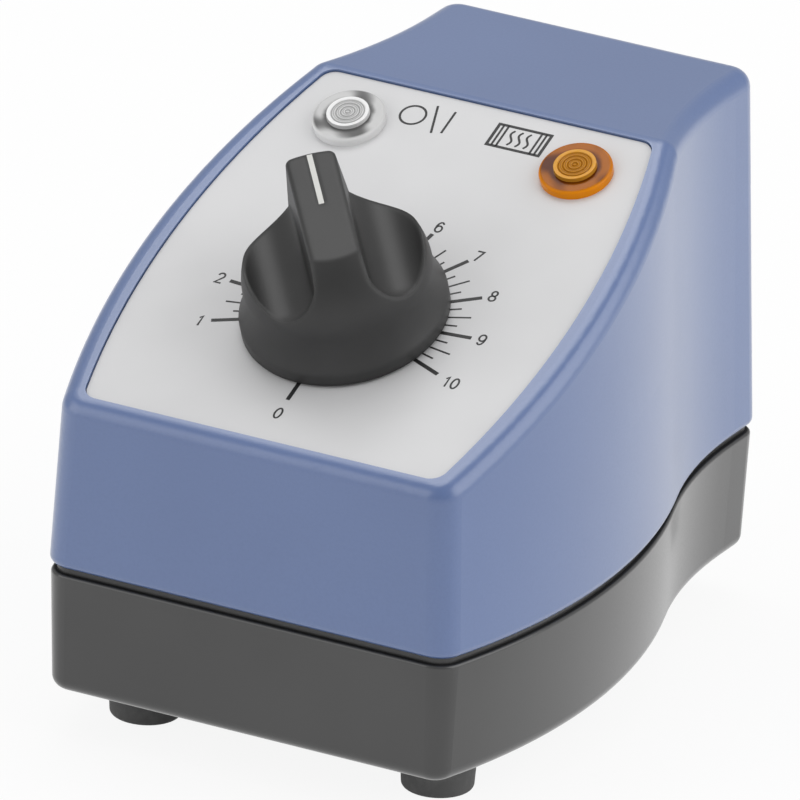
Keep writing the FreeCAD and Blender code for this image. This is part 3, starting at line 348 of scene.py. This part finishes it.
finishes["label_print"] = finish("label_film", label_film)
finishes["rubber"] = finish("dull_rubber", dull_rubber)
for slot, pale, dark, size, smooth in (
        ("zinc_steel", rgb(205, 206, 208), rgb(168, 171, 178), 1.5 * MM, 0.22),
        ("spring_steel", rgb(170, 171, 172), rgb(128, 130, 134), 2.0 * MM, 0.26),
        ("bimetal", rgb(196, 178, 160), rgb(160, 146, 134), 2.5 * MM, 0.28),
        ("brass", rgb(222, 184, 110), rgb(186, 146, 78), 1.8 * MM, 0.2)):
    finishes[slot] = finish(slot, plated(pale, dark, size, smooth), Metallic=1.0)
print("finishes so far:", len(finishes))

# %% [markdown]
# ## The dial's plane
# Lenses and print lie in the plane of the label. It could be typed in as numbers, but the knob's
# joint already gives it: the joint's place is the middle of the dial, and its axis points into
# the label. Two more directions, across and up the slope, make it a sheet of paper to draw on.

# %% Dial plane
turn = next(joint for joint in frame["joints"] if joint["name"] == "knob_turn")
DIAL = np.array(turn["pos_m"])
OUT = -np.array(turn["axis"]) / np.linalg.norm(turn["axis"])
ACROSS = np.array((1.0, 0.0, 0.0))
UP_SLOPE = np.cross(OUT, ACROSS)


def axis_point(node):
    """Where the axis of a round CAD node meets the dial's plane: the middle of its reach."""
    points = np.empty(3 * len(node.data.vertices))
    node.data.vertices.foreach_get("co", points)
    points = points.reshape(-1, 3) - DIAL
    middles = [(reach.min() + reach.max()) / 2 for reach in (points @ ACROSS, points @ UP_SLOPE)]
    return DIAL + middles[0] * ACROSS + middles[1] * UP_SLOPE


print("the dial's middle is at", DIAL.round(4).tolist())

# %% [markdown]
# ## Lamp lenses
# The two lamp lenses are clear and amber polycarbonate. Such a lens is bright where light
# gathers, on its outer wall and on the rim of its raised middle, and dark in the corner between
# them, where one looks into its depth. Tracing light through thin walls does this too, but slowly
# and with noise. So this light and shade is painted into the colour by the distance from the lens's
# axis, the outer wall is painted lighter on its lower side, patches of painted shade lie on its
# flat, and only a little light passes through. The crown's moulded rings are grooves in the model.
# The paint has a finer ring between each two, and paints each ring with a highlight on its ridge
# and shade in its valley.

# %% Lens finishes
CROWN_RADIUS = 5.2
RINGS = 9
RING_STEP = CROWN_RADIUS / RINGS * MM
RING_HEIGHT = 0.06 * MM
RINGS_FADE = (3.9, 4.3)
RIM_BAND, CORNER_BAND, FLAT_BAND, WALL_BAND = (4.0, 4.5), (5.1, 5.4), (5.9, 7.4), (8.1, 8.9)
# Over this reach up the slope the outer wall's painted light fades, and this share of painted shade
# lies on its upper side.
LENS_REACH = (-9, 7)
UPPER_WALL_SHADE = 0.4


def past(far, band):
    """0 nearer than a band of distances in millimetres, and 1 beyond it."""
    return between(far, band[0] * MM, band[1] * MM)


def lens_tint(node, ring_highlight, ring_shade, rim_highlight, corner, flat, lit_wall):
    """Painted light and shade for a lens, by distance from its axis and height up the slope."""
    centre = axis_point(node)

    def paint(start, place):
        offset = place.vector("SUBTRACT", place, centre.tolist())
        across = place.vector("CROSS_PRODUCT", offset, OUT.tolist())
        far = place.vector("LENGTH", across, out="Value")
        above = place.vector("DOT_PRODUCT", offset, UP_SLOPE.tolist(), out="Value")
        # Painted light: the outer wall is lighter on its lower side, and painted shade darkens its
        # upper side towards the corner's colour.
        edge = blend(past(above, LENS_REACH) * UPPER_WALL_SHADE, lit_wall, corner)
        drift = noise(place, 2.5 * MM)
        # Painted shade: soft patches of the dark corner colour on the flat.
        shade_patches = blend(between(noise(place, 7 * MM, detail=0.0), 0.42, 0.72), flat, corner)
        # Painted highlight on each ring's ridge and painted shade in its valley; the same wave
        # lifts the rings' relief.
        wave = 0 - start.math("COSINE", far * (2 * np.pi / RING_STEP))
        shade = blend(between(wave + drift, -0.4, 1.4), ring_shade, ring_highlight)
        # Painted highlight round the rim of the raised middle, then painted shade in the corner
        # beyond it.
        shade = blend(past(far, RIM_BAND), shade, rim_highlight)
        shade = blend(past(far, CORNER_BAND), shade, corner)
        shade = blend(past(far + drift * MM, FLAT_BAND), shade, shade_patches)
        shade = blend(past(far, WALL_BAND), shade, edge)
        return {"Base Color": shade,
                "Roughness": 0.04 + 0.08 * noise(place, 0.6 * MM),
                "Normal": relief(wave * (1 - past(far, RINGS_FADE)), RING_HEIGHT, 0.8)}

    return paint


# The tones of each lens hold painted light and shade: highlights on the rings, the rim and the
# wall, and shade on the darker rings and in the corner.
CLEAR_TONES = dict(ring_highlight=grey(228), ring_shade=grey(186), rim_highlight=grey(250),
                   corner=grey(98), flat=grey(212), lit_wall=grey(246))
AMBER_TONES = dict(ring_highlight=rgb(206, 142, 42), ring_shade=rgb(174, 112, 26), rim_highlight=rgb(228, 162, 52),
                   corner=rgb(96, 42, 4), flat=rgb(176, 100, 14), lit_wall=rgb(248, 148, 4))
for slot, tones in (("clear_lens", CLEAR_TONES), ("amber_lens", AMBER_TONES)):
    finishes[slot] = finish(slot, lens_tint(nodes[slot], **tones),
                            Transmission_Weight=0.12, IOR=1.25)
    print(slot, "has its axis at", axis_point(nodes[slot]).round(4).tolist())

# %% [markdown]
# ## Bulbs and wire
# The bulbs inside the lamp holders are plain glass, which light may pass through. Wire insulation
# is soft and slightly shiny, and the earth wire is green with yellow bands. The bands could be a
# second mesh, but a Wave texture gives slanting bands on any wire, however it bends.

# %% Bulb and wire finishes
BAND_SCALE = 60.0


def bulb_glass(start, place):
    """Clear glass with a slow drift of shade."""
    drift = noise(place, 3 * MM)
    return {"Base Color": blend(drift, rgb(246, 246, 244), rgb(238, 240, 240)),
            "Roughness": 0.03 + 0.06 * drift}


def insulation(shade, band=None):
    """Paint for wire: one colour, and a second one in slanting bands where a wire has two."""

    def paint(start, place):
        dust = noise(place, 1.2 * MM, detail=3.0)
        colour = blend(dust * 0.3, shade, rgb(150, 150, 146))
        if band is not None:
            stripes = place.node("TexWave", {"Vector": place, "Scale": BAND_SCALE}, out=1,
                                 bands_direction="DIAGONAL")
            colour = blend(between(stripes, 0.45, 0.55), colour, band)
        return {"Base Color": colour, "Roughness": 0.38 + 0.2 * dust}

    return paint


finishes["bulb_glass"] = finish("bulb_glass", bulb_glass, Transmission_Weight=1.0, IOR=1.5)
for slot, shade, band in (
        ("clear_insulation", rgb(206, 206, 198), None),
        ("white_insulation", rgb(228, 228, 224), None),
        ("brown_insulation", rgb(104, 66, 44), None),
        ("blue_insulation", rgb(52, 92, 170), None),
        ("green_insulation", rgb(60, 140, 62), rgb(226, 204, 60))):
    finishes[slot] = finish(slot, insulation(shade, band))
print("finishes in all:", len(finishes))

# %% [markdown]
# ## Dressing the CAD nodes
# Every CAD node names its materials, such as rubber or brass. Faces could be picked one by one,
# but putting each finish in the place of the material of that name leaves the meshes as they are.

# %% Give every CAD node its finish
for node in nodes.values():
    for at, old in enumerate(node.data.materials):
        node.data.materials[at] = finishes[old.name.split(".")[0]]
print("dressed", len(nodes), "CAD nodes")

# %% [markdown]
# ## Ink on the label
# The dial's marks, numbers and signs are screen printed. They could be painted by a texture, but
# a printed line is a real, very thin layer, and a mesh keeps its edges sharp at any distance.
# Each line is a path in the dial's plane with a rectangle carried along it.

# %% Ink lines from paths
INK_TOP = 0.04 * MM
INK_FOOT = -0.02 * MM
SHARPEST_MITRE = 0.6


def ink_lines(paths, width, closed=False):
    """Vertices and faces of thin printed lines, one for each path of points (x, y) in millimetres.

    The sideways direction at a point is the mean of the directions before and after it, turned by
    a quarter turn and stretched by one over the cosine of half the corner, so that a line keeps its
    width round a corner. Four corners, half the width to each side at the foot and the top of the
    ink, make the rectangle that is carried along the path.
    """
    paths = np.asarray(paths, float)
    lines, points, _ = paths.shape
    steps = np.roll(paths, -1, 1) - paths
    ahead, behind = steps.copy(), np.roll(steps, 1, 1)
    if not closed:
        ahead[:, -1] = steps[:, -2]
        behind[:, 0] = steps[:, 0]
    ahead /= np.linalg.norm(ahead, axis=2, keepdims=True)
    behind /= np.linalg.norm(behind, axis=2, keepdims=True)
    along = ahead + behind
    along /= np.linalg.norm(along, axis=2, keepdims=True)
    stretch = 1 / np.maximum((along * ahead).sum(2, keepdims=True), SHARPEST_MITRE)
    side = np.stack((-along[..., 1], along[..., 0]), 2) * stretch * width / 2
    left, right = (paths + side) * MM, (paths - side) * MM
    flat = np.stack((left, left, right, right), 2)
    height = np.array((INK_FOOT, INK_TOP, INK_TOP, INK_FOOT))
    corners = (DIAL + flat[..., :1] * ACROSS + flat[..., 1:] * UP_SLOPE + height[:, None] * OUT)
    index = np.arange(lines * points * 4).reshape(lines, points, 4)
    here = index if closed else index[:, :-1]
    there = np.roll(index, -1, 1) if closed else index[:, 1:]
    walls = np.stack((here, np.roll(here, -1, 2), np.roll(there, -1, 2), there), 3).reshape(-1, 4)
    ends = np.concatenate((index[:, 0, ::-1], index[:, -1]))
    return corners.reshape(-1, 3), walls if closed else np.concatenate((walls, ends))


def piece(name, shapes, body, material):
    """One mesh object from several (vertices, faces) pairs, riding on a body."""
    firsts = np.cumsum([0] + [len(points) for points, _ in shapes])
    points = np.concatenate([points for points, _ in shapes])
    faces = np.concatenate([faces + first for (_, faces), first in zip(shapes, firsts)])
    mesh = bpy.data.meshes.new(name)
    mesh.from_pydata(points.tolist(), [], faces.tolist())
    mesh.materials.append(material)
    made = bpy.data.objects.new(name, mesh)
    bpy.context.scene.collection.objects.link(made)
    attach(made, body)
    print(name, "has", len(points), "points and", len(faces), "faces")


def screen_ink(start, place):
    """Near-black ink with a fine unevenness."""
    grain = noise(place, 0.12 * MM)
    return {"Base Color": blend(grain, rgb(26, 26, 27), rgb(38, 38, 39)),
            "Roughness": 0.42 + 0.15 * grain}


ink = finish("screen_ink", screen_ink)
print("ink stands", round(INK_TOP / MM, 3), "mm proud of the label")

# %% [markdown]
# ## Dial marks
# Whole marks are thick, half marks are thin and a little shorter, and quarter marks are short
# stubs. All start just under the knob's edge, so that no gap shows there. The marks 1 to 10 are
# evenly spread with 5.5 at the top, and 0 is alone at the bottom. Arrayed bars would do as well,
# but a path of two points on one ray from the middle of the dial needs only an angle.

# %% Dial marks
DEGREES_A_MARK = 24.6
TOP_MARK = 5.5
ZERO_MARK = TOP_MARK - 180 / DEGREES_A_MARK
MARK_START = 24.4
WHOLE_END, HALF_END, QUARTER_END, ZERO_END = 32.6, 30.5, 27.8, 30.5
THICK, THIN = 1.05, 0.48


def rays(marks, end):
    """Two-point paths from just under the knob's edge to a radius, on the ray of each mark."""
    turns = np.radians((np.asarray(marks, float) - TOP_MARK) * DEGREES_A_MARK)
    direction = np.stack((np.sin(turns), np.cos(turns)), 1)
    return np.stack((direction * MARK_START, direction * end), 1)


quarters = np.arange(1, 10, 0.25)
marks = [ink_lines(rays(np.arange(1, 11), WHOLE_END), THICK),
         ink_lines(rays([ZERO_MARK], ZERO_END), THICK),
         ink_lines(rays(quarters[quarters % 1 == 0.5], HALF_END), THIN),
         ink_lines(rays(quarters[quarters % 0.5 == 0.25], QUARTER_END), THIN)]
piece("dial_marks", marks, "case", ink)

# %% [markdown]
# ## Dial numbers
# The numbers are a light plain face. A font could be used, but a drawn stroke of one width, as an
# engraver would cut it, is closer to such thin figures. Each figure is one or two paths made of
# arcs of ellipses and straight runs, in a box one unit high.

# %% Figures of one stroke
BOW_POINTS = 28
LOOP_POINTS = 40


def bow(x, y, wide, high, start, end, points=BOW_POINTS):
    """Points on an ellipse about (x, y) from a start to an end angle, in degrees."""
    angle = np.radians(np.linspace(start, end, points))
    return np.stack((x + wide * np.cos(angle), y + high * np.sin(angle)), 1)


def loop(x, y, wide, high, points=LOOP_POINTS):
    """A whole ellipse whose last point stops one step short of its first."""
    return bow(x, y, wide, high, 0, 360 - 360 / points, points)


def run(*points):
    """A path through corner points."""
    return np.array(points, float)


FIGURE_BOX = np.array((0.54, 1.0))
two = np.concatenate((bow(0.27, 0.735, 0.24, 0.265, 175, -28), run((0.02, 0.0), (0.53, 0.0))))
five = np.concatenate((run((0.48, 1.0), (0.11, 1.0)), bow(0.26, 0.32, 0.25, 0.33, 132, -160)))
six = np.concatenate((bow(0.28, 0.5, 0.26, 0.5, 42, 176),
                      bow(0.27, 0.315, 0.25, 0.315, 178, 536, LOOP_POINTS)))
FIGURES = {
    "0": [(loop(0.27, 0.5, 0.25, 0.5), True)],
    "1": [(run((0.1, 0.79), (0.3, 1.0), (0.3, 0.0)), False)],
    "2": [(two, False)],
    "3": [(bow(0.26, 0.755, 0.22, 0.245, 165, -90), False),
          (bow(0.26, 0.255, 0.25, 0.255, 90, -165), False)],
    "4": [(run((0.41, 0.0), (0.41, 1.0), (0.0, 0.28), (0.56, 0.28)), False)],
    "5": [(five, False)],
    "6": [(six, False)],
    "7": [(run((0.0, 1.0), (0.52, 1.0), (0.17, 0.0)), False)],
    "8": [(loop(0.27, 0.755, 0.205, 0.245), True), (loop(0.27, 0.255, 0.25, 0.255), True)],
    "9": [(FIGURE_BOX - six, False)],
}
print("drew", len(FIGURES), "figures from", sum(len(paths) for paths in FIGURES.values()), "paths")

# %% [markdown]
# ## Numbers round the dial
# Each number stands upright on the ray of its mark, as on a printed dial. A ring of text objects
# would do it too. The two figures of 10 take more room, so they stand a little farther out.

# %% Dial numbers
FIGURE_HEIGHT = 3.3
FIGURE_STROKE = 0.48
FIGURE_ADVANCE = 0.66
NUMBER_RADIUS = 35.3
TEN_OUTWARD = 2.0


def number(text, x, y):
    """Inked figures of a number, with its middle at (x, y) in the dial's plane."""
    middle_x, middle_y = FIGURE_BOX / 2
    start = -middle_x - FIGURE_ADVANCE * (len(text) - 1) / 2
    shapes = []
    for at, figure in enumerate(text):
        for path, closed in FIGURES[figure]:
            shifted = path + np.array((start + FIGURE_ADVANCE * at, -middle_y))
            placed = shifted * FIGURE_HEIGHT + np.array((x, y))
            shapes.append(ink_lines([placed], FIGURE_STROKE, closed))
    return shapes


numbers = []
for mark in [ZERO_MARK, *range(1, 11)]:
    away = np.radians((mark - TOP_MARK) * DEGREES_A_MARK)
    far = NUMBER_RADIUS + (TEN_OUTWARD if mark == 10 else 0.0)
    text = "0" if mark == ZERO_MARK else str(mark)
    numbers += number(text, far * np.sin(away), far * np.cos(away))
piece("dial_numbers", numbers, "case", ink)

# %% [markdown]
# ## Lamp signs
# Beside the clear lamp is the plain sign for off and on, a ring and two strokes, and beside the
# amber lamp is a heater: a box with end bars and three waves of warm air. Both are generic signs.
# They could be flat filled shapes, but as lines they share the marks' ink and their even width.

# %% Lamp signs
SIGN_STROKE, HEATER_STROKE, WARM_STROKE = 0.58, 0.8, 0.55
RING_X, RING_Y, RING_RADIUS, RING_POINTS = -16.9, 68.1, 3.2, 64
HEATER_LOW, HEATER_HIGH = 64.3, 71.7
HEATER_LEFT, HEATER_RIGHT = 4.9, 18.95
BAR_STEP = 1.25
WAVES = np.array((-2.2, 0.0, 2.2))
WAVE_SWING = 0.6
WAVE_INSET = 1.2
WAVE_POINTS = 24

ring = loop(RING_X, RING_Y, RING_RADIUS, RING_RADIUS, RING_POINTS)
strokes = [run((-12.5, 72.8), (-9.8, 63.7)), run((-7.35, 72.2), (-7.4, 64.4))]
box = run((HEATER_LEFT, HEATER_LOW), (HEATER_RIGHT, HEATER_LOW),
          (HEATER_RIGHT, HEATER_HIGH), (HEATER_LEFT, HEATER_HIGH))
bars = [run((x, HEATER_LOW), (x, HEATER_HIGH))
        for x in (HEATER_LEFT + BAR_STEP, HEATER_LEFT + 2 * BAR_STEP,
                  HEATER_RIGHT - 2 * BAR_STEP, HEATER_RIGHT - BAR_STEP)]
rise = np.linspace(0, 1, WAVE_POINTS)
middle = (HEATER_LEFT + HEATER_RIGHT) / 2
wave_x = middle + WAVES[:, None] + WAVE_SWING * np.sin(2 * np.pi * rise)
wave_y = HEATER_LOW + WAVE_INSET + (HEATER_HIGH - HEATER_LOW - 2 * WAVE_INSET) * rise
waves = np.stack((wave_x, np.broadcast_to(wave_y, wave_x.shape)), 2)
signs = [ink_lines([ring], SIGN_STROKE, True), ink_lines(strokes, SIGN_STROKE),
         ink_lines([box], HEATER_STROKE, True), ink_lines(bars, WARM_STROKE),
         ink_lines(waves, WARM_STROKE)]
piece("lamp_signs", signs, "case", ink)

# %% [markdown]
# ## The floor
# The regulator stands on a plain white table. A lit sheet of paper never comes out evenly white,
# so the floor shows white by itself to the camera and to reflections. A small share of it stays a
# matt surface, which takes the soft shadow.

# %% Floor
WHITE = (1.0, 1.0, 1.0, 1.0)
TABLE_TONE = (0.9, 0.9, 0.9, 1.0)
FLOOR_HALF = 6.0
SHADOW_SHARE = 0.1


def seen_by(start, *kinds):
    """1 for rays of the given kinds, such as those from the camera, and 0 for all others."""
    first, *others = [start.node("LightPath", out=kind) for kind in kinds]
    return start.math("MINIMUM", sum(others, first), 1.0)


floor_mesh = bpy.data.meshes.new("table_top")
corners = np.array(((-1, -1, 0), (1, -1, 0), (1, 1, 0), (-1, 1, 0))) * FLOOR_HALF
floor_mesh.from_pydata(corners.tolist(), [], [(0, 1, 2, 3)])
floor = bpy.data.objects.new("table_top", floor_mesh)
bpy.context.scene.collection.objects.link(floor)
table = bpy.data.materials.new("white_table")
table.use_nodes = True
table.node_tree.nodes.clear()
start = Sock(table.node_tree)
matt = start.node("BsdfDiffuse", {"Color": TABLE_TONE})
white = start.node("Emission", {"Color": WHITE, "Strength": 1.0})
seen = seen_by(start, "Is Camera Ray", "Is Glossy Ray", "Is Transmission Ray")
surface = start.node("MixShader", {0: seen * (1 - SHADOW_SHARE), 1: matt, 2: white})
start.node("OutputMaterial", {"Surface": surface}, out=None)
floor_mesh.materials.append(table)
print("the floor is", 2 * FLOOR_HALF, "m wide")

# %% [markdown]
# ## The light
# A large lamp to the right lights the right wall most, as in the photograph, a weaker one fills
# the front, and one overhead gives the knob's bar its sheen. An even white sky lifts the shadows.
# A sky image could light it all at once, but three lamps are easier to move one by one. Large,
# weak lamps keep the highlights soft from every side.

# %% Lamps and sky
SKY = 0.52
AIM = (0.0, 0.0, 0.07)


def lamp(name, place, size, watts):
    """A square soft lamp at a place that shines towards the middle of the regulator."""
    data = bpy.data.lights.new(name, "AREA")
    data.shape = "SQUARE"
    data.size = size
    data.energy = watts
    made = bpy.data.objects.new(name, data)
    away = Vector(place) - Vector(AIM)
    turned = away.to_track_quat("Z", "Y").to_matrix().to_4x4()
    made.matrix_world = Matrix.Translation(place) @ turned
    bpy.context.scene.collection.objects.link(made)
    print(name, "gives", watts, "W from", round(away.length, 2), "m")


lamp("side_lamp", (2.15, 0.55, 1.4), 2.6, 34.0)
lamp("front_lamp", (-1.9, -2.0, 1.3), 2.4, 21.0)
lamp("top_lamp", (-0.5, 0.5, 2.15), 1.4, 14.0)

world = bpy.data.worlds.new("studio")
world.use_nodes = True
world.node_tree.nodes.clear()
start = Sock(world.node_tree)
sky = start.node("Background", {"Color": WHITE, "Strength": SKY})
start.node("OutputWorld", {"Surface": sky}, out=None)
bpy.context.scene.world = world
bpy.context.scene.view_settings.view_transform = "Standard"
